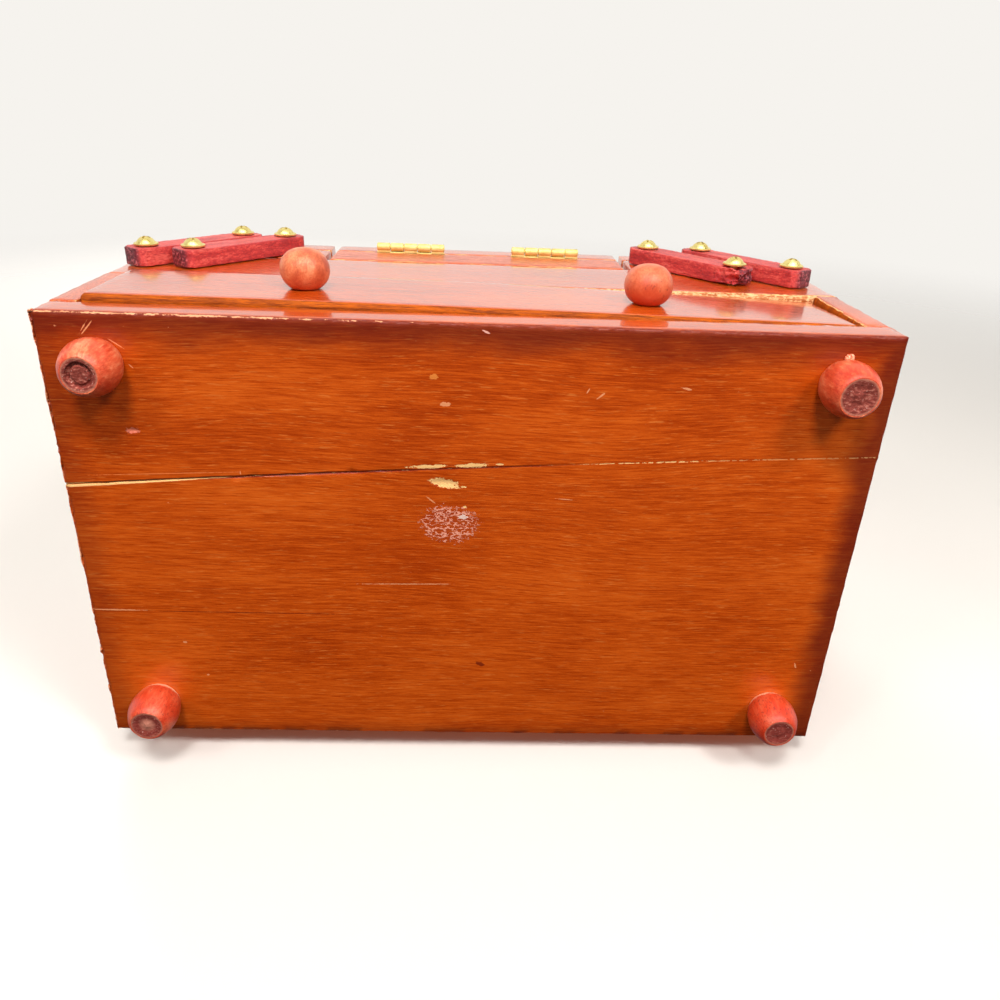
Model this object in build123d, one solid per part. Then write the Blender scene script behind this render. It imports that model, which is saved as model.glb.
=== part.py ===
from build123d import *
import math
import os

# A wooden sewing box that stands on four turned feet. A drawer fills its lower part. Above it are a
# middle well with its own lid, and two lidded trays that swing out and over the box's ends on
# leaning wooden arms. Sizes are in millimetres. +X is the box's right as seen from the front,
# +Y its back and +Z up. The origin is on the ground, below the middle of the outline.

# Case
box_width = 300.0
box_depth = 180.0
bottom_thickness = 15.0
panel_thickness = 10.0
shelf_thickness = 6.0
partition_thickness = 8.0
drawer_bay_height = 49.0
compartment_height = 42.0
edge_ease = 0.5

# Feet, turned like barrels, each with a tenon let into the bottom board
foot_height = 17.0
foot_root_diameter = 16.0
foot_belly_diameter = 20.0
foot_tip_diameter = 14.6
foot_hollow_diameter = 8.4
foot_hollow_depth = 0.8
foot_tenon_diameter = 7.0
foot_tenon_length = 8.0
foot_inset_from_ends = 21.0
foot_inset_from_front = 17.0

# Drawer
drawer_front_thickness = 10.0
drawer_front_proud = 2.2
drawer_front_round = 2.0
drawer_side_thickness = 8.0
drawer_side_height = 40.0
drawer_floor_thickness = 4.0
drawer_side_gap = 0.8
drawer_under_gap = 0.3
drawer_top_gap = 0.8
drawer_back_gap = 6.0

# Knobs, turned like flattened balls with a small flat, held by screws from inside the drawer
knob_diameter = 18.8
knob_front_reach = 8.0
knob_flat_distance = 7.0
knob_fullness = 0.85
knob_spacing = 129.0
knob_drop_below_middle = 2.5
knob_screw_diameter = 3.0
knob_screw_head_diameter = 7.0
knob_screw_head_height = 2.0
knob_screw_reach = 9.0

# Trays and lids. What the two trays leave free is the middle part.
tray_width = 79.0
tray_gap = 3.0
tray_height = 23.0
tray_side_thickness = 8.0
tray_floor_thickness = 4.0
tray_seat_gap = 0.3
lid_thickness = 15.0
lid_gap = 0.5
lid_round = 2.0

# Arms. The two pairs on each side are parallel, so a tray stays level as it swings.
arm_pitch = 49.5
arm_width = 13.6
arm_thickness = 7.5
arm_end_margin = 8.0
arm_corner = 3.0
arm_face_gap = 0.3
case_pivot_below_rim = 27.0
tray_pivot_above_rim = 12.0
outer_pivot_inset = {"left": 10.0, "right": 14.0}
pivot_spacing = {"left": 19.5, "right": 25.0}

# Brass pivot screws with a washer-shaped flange under a domed head
pivot_screw_diameter = 3.5
pivot_flange_diameter = 10.0
pivot_flange_thickness = 0.9
pivot_dome_diameter = 7.4
pivot_dome_height = 2.8
pivot_screw_grip = 8.0
pivot_clearance = 0.08
loose_pivot_clearance = 0.3

# Brass butt hinges, let into the edges that they join, with their barrels standing outside
hinge_length = 32.5
hinge_knuckles = 5
hinge_knuckle_diameter = 4.4
hinge_pin_diameter = 2.0
hinge_leaf_width = 6.6
hinge_leaf_thickness = 1.0
hinge_barrel_gap = 0.3
hinge_knuckle_gap = 0.15
hinge_pin_clearance = 0.06
middle_hinge_spacing = 65.0
tray_hinge_spacing = 104.0

# Gap round a fixed shank in its hole, and round a leaf in its recess
fixed_clearance = 0.05

# Round pieces have flat sides: many on the turned wood, and fewer on the small fittings
turned_sides = 24
fitting_sides = 12
foot_bands = 5
knob_bands = 8
dome_bands = 2

# Levels, from the ground up
board_z = foot_height
bay_z = board_z + bottom_thickness
shelf_z = bay_z + drawer_bay_height
floor_z = shelf_z + shelf_thickness
rim_z = floor_z + compartment_height
tray_z = rim_z + tray_seat_gap
seam_z = rim_z + tray_height
lid_z = seam_z + lid_gap
top_z = seam_z + lid_thickness
hinge_z = seam_z + lid_gap / 2

# Places across and along the box, from its middle
end_x = box_width / 2
inner_x = end_x - panel_thickness
tray_inner_x = end_x - tray_width
middle_x = tray_inner_x - tray_gap
well_x = middle_x - partition_thickness
face_y = box_depth / 2
inner_y = face_y - panel_thickness
drawer_face_y = -face_y - drawer_front_proud
knob_center_y = drawer_face_y - knob_flat_distance
hinge_barrel_offset = hinge_knuckle_diameter / 2 + hinge_barrel_gap

# The arms lean inwards when the box is shut. Their rise fixes how far they lean.
arm_rise = case_pivot_below_rim + tray_pivot_above_rim
arm_run = math.sqrt(arm_pitch**2 - arm_rise**2)
arm_angle = math.degrees(math.atan2(arm_rise, arm_run))
arm_swing = 2 * (90 - arm_angle)
case_pivot_z = rim_z - case_pivot_below_rim
tray_pivot_z = rim_z + tray_pivot_above_rim
arm_outer_y = face_y + arm_face_gap + arm_thickness
screw_seat_y = arm_outer_y + arm_face_gap

# The knobs reach further forward than the screws reach back, so the case stands a little behind
# the origin, which is under the middle of the whole outline.
screw_reach_y = screw_seat_y + pivot_flange_thickness + pivot_dome_height
knob_reach_y = knob_front_reach - knob_center_y
case_shift_y = (max(knob_reach_y, screw_reach_y) - screw_reach_y) / 2

SIDES = {"left": -1, "right": 1}
FRONT_AND_BACK = {"front": -1, "back": 1}


def save(name, shape):
    """Write one piece, or one group of like pieces, to its own file."""
    export_step(Pos(0, case_shift_y, 0) * shape, f"parts/{name}.step")


def block(x, y, z):
    """A plain block between two limits along each axis."""
    size = [max(limits) - min(limits) for limits in (x, y, z)]
    middle = [(limits[0] + limits[1]) / 2 for limits in (x, y, z)]
    return Pos(*middle) * Box(*size)


def board(x, y, z):
    """A planed board whose edges are eased with glass paper."""
    plain = block(x, y, z)
    return chamfer(plain.edges(), edge_ease)


def mirrored(side, near, far):
    """Limits along X on one side of the box, given as distances from its middle."""
    return (SIDES[side] * near, SIDES[side] * far)


def rod(radius, length):
    """A small rod along Z, centred on the origin, that just fits inside its radius."""
    return Pos(0, 0, -length / 2) * extrude(RegularPolygon(radius, fitting_sides), length)


def bore(radius, length):
    """The cutter of a small hole along Z, centred on the origin, that just clears its radius."""
    outline = RegularPolygon(radius, fitting_sides, major_radius=False)
    return Pos(0, 0, -length / 2) * extrude(outline, length)


def along_y(tool, radius, x, z, y_start, y_end):
    """A rod or a bore that lies along Y between two places."""
    length = abs(y_end - y_start)
    return Pos(x, (y_start + y_end) / 2, z) * Rot(90, 0, 0) * tool(radius, length)


def turned(stations, sides):
    """A piece turned about Z, in flat facets, given by its height and radius at each ring."""
    angles = [2 * math.pi * index / sides for index in range(sides)]
    rings = [
        [(radius * math.cos(angle), radius * math.sin(angle), z) for angle in angles]
        for z, radius in stations
    ]
    outlines = [rings[0], rings[-1]]
    for below, above in zip(rings, rings[1:]):
        for index in range(sides):
            outlines.append((below[index - 1], below[index], above[index], above[index - 1]))
    return Solid(Shell([Face(Wire.make_polygon(outline)) for outline in outlines]))


def shares(count):
    """The shares 0 to 1 that divide a length into that many equal parts."""
    return [index / count for index in range(count + 1)]


def foot_places():
    """The four feet's names and axes."""
    x = end_x - foot_inset_from_ends
    y = face_y - foot_inset_from_front
    return {
        f"foot_{end}_{side}": (SIDES[side] * x, FRONT_AND_BACK[end] * y)
        for end in FRONT_AND_BACK
        for side in SIDES
    }


def foot():
    """A barrel turned with its tenon, standing on its narrow end, which is hollowed."""
    tip = foot_tip_diameter / 2
    root = foot_root_diameter / 2
    bulge = foot_belly_diameter / 2 - (tip + root) / 2
    stations = [
        (foot_height * share, tip + (root - tip) * share + bulge * 4 * share * (1 - share))
        for share in shares(foot_bands)
    ]
    tenon = rod(foot_tenon_diameter / 2, foot_tenon_length)
    hollow = turned(
        [(-foot_hollow_depth, foot_hollow_diameter / 2), (foot_hollow_depth, foot_hollow_diameter / 2)],
        turned_sides,
    )
    barrel = turned(stations, turned_sides) - hollow
    return barrel + Pos(0, 0, foot_height + foot_tenon_length / 2) * tenon


def bottom_board():
    """The solid bottom, with a blind hole for each foot's tenon."""
    wood = board((-end_x, end_x), (-face_y, face_y), (board_z, bay_z))
    depth = foot_tenon_length + fixed_clearance
    hole = bore(foot_tenon_diameter / 2 + fixed_clearance, depth)
    for x, y in foot_places().values():
        wood -= Pos(x, y, board_z + depth / 2) * hole
    return wood


def end_panel(side):
    """An end of the case. Below it shows beside the drawer; above it stops behind the front panel."""
    wood = board(mirrored(side, inner_x, end_x), (-face_y, inner_y), (bay_z, rim_z))
    notch = block(
        mirrored(side, inner_x - panel_thickness, end_x + panel_thickness),
        (-face_y - panel_thickness, -inner_y),
        (shelf_z, rim_z + panel_thickness),
    )
    return wood - notch


def pivot_places():
    """For each side, the outer and inner arms' pivots on the case and on the tray, along X."""
    places = {}
    for side, sign in SIDES.items():
        outer = end_x - outer_pivot_inset[side]
        inner = outer - pivot_spacing[side]
        places[side] = {
            arm: (sign * case_x, sign * (case_x - arm_run))
            for arm, case_x in (("outer", outer), ("inner", inner))
        }
    return places


PIVOTS = pivot_places()


def screw_hole(x, z, sign):
    """The cutter of a pivot screw's blind hole in a front or a back face."""
    radius = pivot_screw_diameter / 2 + fixed_clearance
    bottom = face_y - pivot_screw_grip - fixed_clearance
    return along_y(bore, radius, x, z, sign * bottom, sign * (face_y + edge_ease))


def drilled_for_case_pivots(wood, sign):
    """The case's front or back panel with the holes that its four pivot screws go into."""
    for pair in PIVOTS.values():
        for case_x, _ in pair.values():
            wood -= screw_hole(case_x, case_pivot_z, sign)
    return wood


def front_panel():
    """The wide panel over the drawer, which covers the ends of the end panels."""
    wood = board((-end_x, end_x), (-face_y, -inner_y), (shelf_z, rim_z))
    return drilled_for_case_pivots(wood, FRONT_AND_BACK["front"])


def back_panel():
    """The back of the case, from the bottom board to the rim."""
    wood = board((-end_x, end_x), (inner_y, face_y), (bay_z, rim_z))
    return drilled_for_case_pivots(wood, FRONT_AND_BACK["back"])


def drawer_shelf():
    """The floor of the well and the side compartments, which is also the drawer bay's ceiling."""
    return board((-inner_x, inner_x), (-inner_y, inner_y), (shelf_z, floor_z))


def partition(side):
    """A wall of the middle well, from the shelf up to the middle lid."""
    return board(mirrored(side, well_x, middle_x), (-inner_y, inner_y), (floor_z, seam_z))


def pivot_screw():
    """A screw that points down -Z, with its flange's underside at the origin."""
    length = screw_seat_y - face_y + pivot_screw_grip
    shank = Pos(0, 0, -length / 2) * rod(pivot_screw_diameter / 2, length)
    flange = Pos(0, 0, pivot_flange_thickness / 2) * rod(
        pivot_flange_diameter / 2, pivot_flange_thickness
    )
    rim = pivot_dome_diameter / 2
    ball_radius = (rim**2 + pivot_dome_height**2) / (2 * pivot_dome_height)
    full_angle = math.asin(min(1.0, rim / ball_radius))
    stations = []
    for share in shares(dome_bands + 1)[:-1]:
        angle = full_angle * (1 - share)
        height = ball_radius * (math.cos(angle) - math.cos(full_angle))
        stations.append((pivot_flange_thickness + height, ball_radius * math.sin(angle)))
    return shank + flange + turned(stations, fitting_sides)


def screw_at(x, z, sign):
    """A pivot screw in its place on the front, for a sign of -1, or on the back, for 1."""
    return Pos(x, sign * screw_seat_y, z) * Rot(-90 * sign, 0, 0) * pivot_screw()


def case_pivot_screws():
    """The eight screws on which the arms turn, four in front and four behind."""
    return Compound(
        [
            screw_at(case_x, case_pivot_z, sign)
            for sign in FRONT_AND_BACK.values()
            for pair in PIVOTS.values()
            for case_x, _ in pair.values()
        ]
    )


def tray_pivot_screws(side):
    """The four screws that join one tray to its arms."""
    return Compound(
        [
            screw_at(tray_x, tray_pivot_z, sign)
            for sign in FRONT_AND_BACK.values()
            for _, tray_x in PIVOTS[side].values()
        ]
    )


def arm(side, pair, end):
    """One leaning bar with clipped corners and a hole at each end.

    The inner pair's upper holes are wider: they only steady the tray, which hangs on the outer pair.
    """
    length = arm_pitch + 2 * arm_end_margin
    bar = Box(length, arm_thickness, arm_width)
    corners = bar.edges().filter_by(Axis.Y)
    bar = chamfer(corners, arm_corner)
    bar = chamfer(bar.edges(), edge_ease)
    upper_clearance = loose_pivot_clearance if pair == "inner" else pivot_clearance
    for place, clearance in ((-arm_pitch / 2, pivot_clearance), (arm_pitch / 2, upper_clearance)):
        radius = pivot_screw_diameter / 2 + clearance
        bar -= along_y(bore, radius, place, 0, -arm_thickness, arm_thickness)
    case_x, tray_x = PIVOTS[side][pair]
    direction = arm_angle if side == "left" else 180 - arm_angle
    middle = (
        (case_x + tray_x) / 2,
        FRONT_AND_BACK[end] * (face_y + arm_face_gap + arm_thickness / 2),
        (case_pivot_z + tray_pivot_z) / 2,
    )
    return Pos(*middle) * Rot(0, -direction, 0) * bar


def hinge_leaf(upper):
    """A leaf with its knuckles, which alternate with the other leaf's.

    The barrel lies along X through the origin, and both leaves reach back along +Y.
    """
    side = 1 if upper else -1
    near, far = side * lid_gap / 2, side * (lid_gap / 2 + hinge_leaf_thickness)
    half = hinge_length / 2
    leaf_end = hinge_barrel_offset + hinge_leaf_width
    leaf = block((-half, half), (hinge_barrel_offset, leaf_end), (near, far))
    pitch = hinge_length / hinge_knuckles
    length = pitch - hinge_knuckle_gap
    for index in range(1 if upper else 0, hinge_knuckles, 2):
        x = -half + pitch * (index + 0.5)
        knuckle = Pos(x, 0, 0) * Rot(0, 90, 0) * rod(hinge_knuckle_diameter / 2, length)
        tongue = block(
            (x - length / 2, x + length / 2), (0, hinge_barrel_offset + edge_ease), (near, far)
        )
        leaf += knuckle + tongue
    hole = bore(hinge_pin_diameter / 2 + hinge_pin_clearance, 2 * hinge_length)
    return leaf - Rot(0, 90, 0) * hole


def hinge_pin():
    """The pin that runs through a hinge's knuckles."""
    return Rot(0, 90, 0) * rod(hinge_pin_diameter / 2, hinge_length)


def leaf_recess():
    """The cutter for both leaves' recesses, in the edge below the seam and in the lid above it."""
    half = hinge_length / 2 + fixed_clearance
    depth = lid_gap / 2 + hinge_leaf_thickness
    leaf_end = hinge_barrel_offset + hinge_leaf_width + fixed_clearance
    return block((-half, half), (0, leaf_end), (-depth, depth))


def middle_hinge_places():
    """The middle lid's two hinges, whose barrels stand outside the front face."""
    barrel_y = -face_y - hinge_barrel_offset
    return [Pos(sign * middle_hinge_spacing / 2, barrel_y, hinge_z) for sign in (-1, 1)]


def tray_hinge_places(side):
    """A tray lid's two hinges, whose barrels stand outside the tray's outer wall."""
    barrel_x = SIDES[side] * (end_x + hinge_barrel_offset)
    turn = Rot(0, 0, SIDES[side] * 90)
    return [Pos(barrel_x, sign * tray_hinge_spacing / 2, hinge_z) * turn for sign in (-1, 1)]


def at_places(places, piece):
    """Copies of a piece, one at each place."""
    return Compound([place * piece for place in places])


def recessed(wood, places):
    """A board with the hinge leaves' recesses cut into its edge or its underside."""
    for place in places:
        wood -= place * leaf_recess()
    return wood


def riser(end):
    """A short board that closes the well between the trays, in front or behind."""
    sign = FRONT_AND_BACK[end]
    wood = board((-middle_x, middle_x), (sign * inner_y, sign * face_y), (rim_z, seam_z))
    return recessed(wood, middle_hinge_places()) if end == "front" else wood


def lid(x):
    """A thick flat lid with rounded upper edges."""
    plain = block(x, (-face_y, face_y), (lid_z, top_z))
    above = plain.faces().sort_by(Axis.Z)[-1]
    rounded = fillet(above.edges(), lid_round)
    below = rounded.faces().sort_by(Axis.Z)[0]
    return chamfer(below.edges(), edge_ease)


def middle_lid():
    """The lid of the middle well."""
    return recessed(lid((-middle_x, middle_x)), middle_hinge_places())


def tray_lid(side):
    """The lid of one tray, as deep as the box."""
    return recessed(lid(mirrored(side, tray_inner_x, end_x)), tray_hinge_places(side))


def tray_long_wall(side, end):
    """A tray's front or back wall, which the arms are screwed to."""
    sign = FRONT_AND_BACK[end]
    x = mirrored(side, tray_inner_x, end_x)
    wood = board(x, (sign * inner_y, sign * face_y), (tray_z, seam_z))
    for _, tray_x in PIVOTS[side].values():
        wood -= screw_hole(tray_x, tray_pivot_z, sign)
    return wood


def tray_inner_wall(side):
    """A tray's wall next to the middle well."""
    near = tray_inner_x
    x = mirrored(side, near, near + tray_side_thickness)
    return board(x, (-inner_y, inner_y), (tray_z, seam_z))


def tray_outer_wall(side):
    """A tray's wall over the case's end, with the lid's hinges let into its top."""
    x = mirrored(side, end_x - tray_side_thickness, end_x)
    wood = board(x, (-inner_y, inner_y), (tray_z, seam_z))
    return recessed(wood, tray_hinge_places(side))


def tray_floor(side):
    """A tray's thin floor, set between its walls."""
    x = mirrored(side, tray_inner_x + tray_side_thickness, end_x - tray_side_thickness)
    return board(x, (-inner_y, inner_y), (tray_z, tray_z + tray_floor_thickness))


drawer_z = bay_z + drawer_under_gap
drawer_x = inner_x - drawer_side_gap
drawer_box_y = (drawer_face_y + drawer_front_thickness, inner_y - drawer_back_gap)
knob_z = (drawer_z + shelf_z - drawer_top_gap) / 2 - knob_drop_below_middle
KNOBS = {side: SIDES[side] * knob_spacing / 2 for side in SIDES}


def drawer_front():
    """The drawer's face, a little proud of the case, with rounded front edges and two screw holes."""
    plain = block(
        (-drawer_x, drawer_x), (drawer_face_y, drawer_box_y[0]), (drawer_z, shelf_z - drawer_top_gap)
    )
    face = plain.faces().sort_by(Axis.Y)[0]
    wood = fillet(face.edges(), drawer_front_round)
    radius = knob_screw_diameter / 2 + fixed_clearance
    for x in KNOBS.values():
        ends = (drawer_face_y - edge_ease, drawer_box_y[0] + edge_ease)
        wood -= along_y(bore, radius, x, knob_z, *ends)
    return wood


def drawer_side(side):
    """A side of the drawer, glued behind its front."""
    x = mirrored(side, drawer_x - drawer_side_thickness, drawer_x)
    return board(x, drawer_box_y, (drawer_z, drawer_z + drawer_side_height))


def drawer_back():
    """The drawer's back, between its sides."""
    x = drawer_x - drawer_side_thickness
    y = (drawer_box_y[1] - drawer_side_thickness, drawer_box_y[1])
    return board((-x, x), y, (drawer_z, drawer_z + drawer_side_height))


def drawer_floor():
    """The drawer's thin floor, set between its sides, front and back."""
    x = drawer_x - drawer_side_thickness
    y = (drawer_box_y[0], drawer_box_y[1] - drawer_side_thickness)
    return board((-x, x), y, (drawer_z, drawer_z + drawer_floor_thickness))


def knob(side):
    """A flattened wooden ball with a flat that seats on the drawer front, drilled for its screw."""
    first = -math.asin(knob_flat_distance / knob_front_reach)
    last = math.pi / 2
    stations = []
    for share in shares(knob_bands + 1)[:-1]:
        angle = first + (last - first) * share
        radius = knob_diameter / 2 * math.cos(angle) ** knob_fullness
        stations.append((knob_front_reach * math.sin(angle), radius))
    radius = knob_screw_diameter / 2 + fixed_clearance
    depth = knob_screw_reach + fixed_clearance
    hole = Pos(0, 0, depth / 2 - knob_flat_distance) * bore(radius, depth)
    drilled = turned(stations, turned_sides) - hole
    return Pos(KNOBS[side], knob_center_y, knob_z) * Rot(90, 0, 0) * drilled


def knob_screws():
    """The two screws that come through the drawer front into the knobs."""
    screws = []
    seat = drawer_box_y[0]
    shank_radius = knob_screw_diameter / 2
    head_radius = knob_screw_head_diameter / 2
    for x in KNOBS.values():
        shank = along_y(rod, shank_radius, x, knob_z, drawer_face_y - knob_screw_reach, seat)
        head = along_y(rod, head_radius, x, knob_z, seat, seat + knob_screw_head_height)
        screws.append(shank + head)
    return Compound(screws)


os.makedirs("parts", exist_ok=True)

save("bottom_board", bottom_board())
for name, (x, y) in foot_places().items():
    save(name, Pos(x, y, 0) * foot())
save("front_panel", front_panel())
save("back_panel", back_panel())
save("drawer_shelf", drawer_shelf())
save("front_riser", riser("front"))
save("back_riser", riser("back"))
save("case_pivot_screws", case_pivot_screws())
save("middle_lid", middle_lid())
save("middle_hinge_lower_leaves", at_places(middle_hinge_places(), hinge_leaf(upper=False)))
save("middle_hinge_upper_leaves", at_places(middle_hinge_places(), hinge_leaf(upper=True)))
save("middle_hinge_pins", at_places(middle_hinge_places(), hinge_pin()))
save("drawer_front", drawer_front())
save("drawer_back", drawer_back())
save("drawer_floor", drawer_floor())
save("knob_screws", knob_screws())

for side in SIDES:
    save(f"{side}_end_panel", end_panel(side))
    save(f"{side}_partition", partition(side))
    save(f"drawer_{side}_side", drawer_side(side))
    save(f"{side}_knob", knob(side))
    save(f"{side}_tray_floor", tray_floor(side))
    save(f"{side}_tray_inner_wall", tray_inner_wall(side))
    save(f"{side}_tray_outer_wall", tray_outer_wall(side))
    save(f"{side}_tray_lid", tray_lid(side))
    save(f"{side}_tray_screws", tray_pivot_screws(side))
    places = tray_hinge_places(side)
    save(f"{side}_hinge_lower_leaves", at_places(places, hinge_leaf(upper=False)))
    save(f"{side}_hinge_upper_leaves", at_places(places, hinge_leaf(upper=True)))
    save(f"{side}_hinge_pins", at_places(places, hinge_pin()))
    for end in FRONT_AND_BACK:
        save(f"{side}_tray_{end}_wall", tray_long_wall(side, end))
        for pair in ("outer", "inner"):
            save(f"{side}_{pair}_{end}_arm", arm(side, pair, end))

print(f"arm swing {arm_swing:.2f} degrees, tray travel {2 * arm_run:.1f} mm outwards")
print(f"case stands {case_shift_y:.3f} mm behind the origin")
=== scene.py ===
import math

import bmesh
import bpy
from mathutils import Matrix, Vector


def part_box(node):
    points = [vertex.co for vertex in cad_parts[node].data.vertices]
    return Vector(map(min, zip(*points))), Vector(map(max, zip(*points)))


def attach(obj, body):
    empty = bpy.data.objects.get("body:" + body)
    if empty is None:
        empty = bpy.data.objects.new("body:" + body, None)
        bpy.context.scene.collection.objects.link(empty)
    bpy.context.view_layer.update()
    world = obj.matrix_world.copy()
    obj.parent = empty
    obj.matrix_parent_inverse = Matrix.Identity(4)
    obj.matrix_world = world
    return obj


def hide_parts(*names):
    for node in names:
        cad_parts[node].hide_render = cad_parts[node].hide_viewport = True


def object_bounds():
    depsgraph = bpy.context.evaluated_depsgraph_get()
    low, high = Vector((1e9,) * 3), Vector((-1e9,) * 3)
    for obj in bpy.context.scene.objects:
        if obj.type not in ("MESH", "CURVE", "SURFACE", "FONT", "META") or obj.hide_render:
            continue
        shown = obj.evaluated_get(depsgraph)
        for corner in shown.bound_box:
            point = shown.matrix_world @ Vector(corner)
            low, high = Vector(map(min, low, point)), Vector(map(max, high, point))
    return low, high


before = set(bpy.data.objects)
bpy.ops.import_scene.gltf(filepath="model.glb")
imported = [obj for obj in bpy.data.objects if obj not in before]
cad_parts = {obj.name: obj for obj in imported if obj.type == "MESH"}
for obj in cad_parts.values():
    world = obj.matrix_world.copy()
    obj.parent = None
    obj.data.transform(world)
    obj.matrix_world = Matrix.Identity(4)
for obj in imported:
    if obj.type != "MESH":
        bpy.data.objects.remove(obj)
cad_low, cad_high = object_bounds()
bpy.context.scene.view_settings.view_transform = "Standard"

# The camera. It is close under the box and a little in front of it, and looks up at the underside
# with the drawer front at the top of the picture, as if the box lay on its back.
board_low, board_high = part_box("bottom_board")
middle_y = (board_low.y + board_high.y) / 2
camera_place = Vector((-0.0018, middle_y - 0.1583, board_low.z - 0.2762))
camera_right = Vector((0.99900, -0.03745, -0.02447))
camera_up = Vector((-0.02291, -0.89810, 0.43919))
camera_back = camera_right.cross(camera_up)


def new(name, add, **settings):
    """A new object of this name, made by one of Blender's own operators."""
    bpy.ops.object.select_all(action="DESELECT")
    add(**settings)
    made = bpy.context.active_object
    made.name = name
    return made


camera = new("camera", bpy.ops.object.camera_add)
camera.data.sensor_width = 36.0
camera.data.lens = 29.5
turned = Matrix((camera_right, camera_up, camera_back)).transposed().to_4x4()
camera.matrix_world = Matrix.Translation(camera_place) @ turned
bpy.context.scene.camera = camera


# The bottom board, glued up from two planks of a fine-grained wood, stained orange-brown and
# varnished. The glue joint runs askew and has opened at its left end. Chips, knots, a dent and
# a patch of old glue mark the varnish.
ease = 0.0006
ruling = 0.003
joint_left_y = middle_y - 0.0257
joint_right_y = middle_y - 0.0446
joint_bow = 0.0013
joint_reach = 0.012
crack_width = 0.0005
crack_depth = 0.0011


def paint(red, green, blue):
    """A colour as seen on a screen, from 0 to 255, in the linear numbers that a shader takes."""
    shares = [value / 255 for value in (red, green, blue)]
    bright = [s / 12.92 if s <= 0.04045 else ((s + 0.055) / 1.055) ** 2.4 for s in shares]
    return (*bright, 1.0)


def active(piece):
    """Selects this piece alone, so that an operator acts on nothing else."""
    bpy.ops.object.select_all(action="DESELECT")
    piece.select_set(True)
    bpy.context.view_layer.objects.active = piece


def block(name, low, high):
    """A block between two corners, begun as a cube."""
    centre = (Vector(low) + Vector(high)) / 2
    piece = new(name, bpy.ops.mesh.primitive_cube_add, size=1, location=centre)
    piece.scale = [abs(high[axis] - low[axis]) for axis in range(3)]
    bpy.ops.object.transform_apply(location=True, rotation=True, scale=True)
    return piece


def edit(piece, kind, chosen):
    """Opens a piece for editing with only the edges, or the faces, that pass a test selected."""
    active(piece)
    bpy.ops.object.mode_set(mode="EDIT")
    bpy.ops.mesh.select_mode(type=kind)
    bpy.ops.mesh.select_all(action="DESELECT")
    mesh = bmesh.from_edit_mesh(piece.data)
    for part in mesh.edges if kind == "EDGE" else mesh.faces:
        part.select_set(bool(chosen(part)))
    bmesh.update_edit_mesh(piece.data)


def close(piece):
    """Closes a piece after editing."""
    bpy.ops.object.mode_set(mode="OBJECT")
    return piece


def round_edges(piece, radius, segments, chosen=lambda edge: edge.calc_face_angle(0) > 0.5):
    """Planes a round onto the chosen edges, or onto every sharp one."""
    edit(piece, "EDGE", chosen)
    bpy.ops.mesh.bevel(offset=radius, segments=segments, profile=0.5, affect="EDGES")
    close(piece)


def runs_along(axis, shortest):
    """A test for edges parallel to an axis and longer than a given length."""
    def test(edge):
        run = edge.verts[1].co - edge.verts[0].co
        return abs(run[axis]) > 0.999 * run.length and run.length > shortest
    return test


def rule(piece, spacing):
    """Rules lines across a board both ways, so that it can be worn and dented between them."""
    for axis in range(3):
        cuts = min(100, round(piece.dimensions[axis] / spacing) - 1)
        if cuts > 0:
            edit(piece, "EDGE", runs_along(axis, 1.5 * spacing))
            bpy.ops.mesh.subdivide(number_cuts=cuts)
            close(piece)


def refine(piece, cuts, chosen):
    """Cuts the chosen faces finer."""
    edit(piece, "FACE", chosen)
    bpy.ops.mesh.subdivide(number_cuts=cuts)
    close(piece)


def apply_modifier(piece, kind, **settings):
    """Adds a modifier with its settings and applies it."""
    active(piece)
    modifier = piece.modifiers.new("shaping", kind)
    for name, value in settings.items():
        setattr(modifier, name, value)
    bpy.ops.object.modifier_apply(modifier=modifier.name)


def roughen(piece, size, depth, shares=None, level=1.0):
    """Takes wood away by a cloudy texture with lumps of about this size, all over or by shares."""
    name = f"lumps of {size}"
    texture = bpy.data.textures.get(name) or bpy.data.textures.new(name, "CLOUDS")
    texture.noise_scale = size
    settings = {"texture": texture, "texture_coords": "LOCAL", "strength": depth, "mid_level": level}
    if shares:
        group = piece.vertex_groups.new(name="worn")
        for index, share in enumerate(shares):
            group.add([index], share, "REPLACE")
        settings["vertex_group"] = "worn"
    apply_modifier(piece, "DISPLACE", **settings)
    piece.vertex_groups.clear()


def corners(piece):
    """The lowest and highest corner of a piece's mesh."""
    points = [vertex.co for vertex in piece.data.vertices]
    low = Vector([min(point[axis] for point in points) for axis in range(3)])
    high = Vector([max(point[axis] for point in points) for axis in range(3)])
    return low, high


def edge_nearness(piece, reach):
    """For each point of a board, 1 on its nearest edge, falling to 0 at this reach from it."""
    low, high = corners(piece)
    found = []
    for vertex in piece.data.vertices:
        away = sorted(min(vertex.co[a] - low[a], high[a] - vertex.co[a]) for a in range(3))
        found.append(max(0.0, 1 - away[1] / reach))
    return found


def note(piece, name, values):
    """Keeps a number for each point of a piece, for its material to read."""
    made = piece.data.attributes.new(name, "FLOAT", "POINT")
    made.data.foreach_set("value", values)


def note_grain(piece, order, plank):
    """Gives each point of a piece its place in the timber, in millimetres along, across and
    through the grain. Each piece is cut from its own part of the timber."""
    start = Vector((137.3 * plank % 911, 61.7 * plank % 433, 29.3 * plank % 217))
    made = piece.data.attributes.new("grain", "FLOAT_VECTOR", "POINT")
    values = []
    for vertex in piece.data.vertices:
        values += [start[step] + 1000 * vertex.co[axis] for step, axis in enumerate(order)]
    made.data.foreach_set("vector", values)


def lay_grain(piece, along, plank):
    """Gives a board its grain, and its nearness to an edge, where the varnish wears."""
    note_grain(piece, {"X": (0, 1, 2), "Y": (1, 0, 2), "Z": (2, 0, 1)}[along], plank)
    note(piece, "worn", edge_nearness(piece, 0.006))


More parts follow.
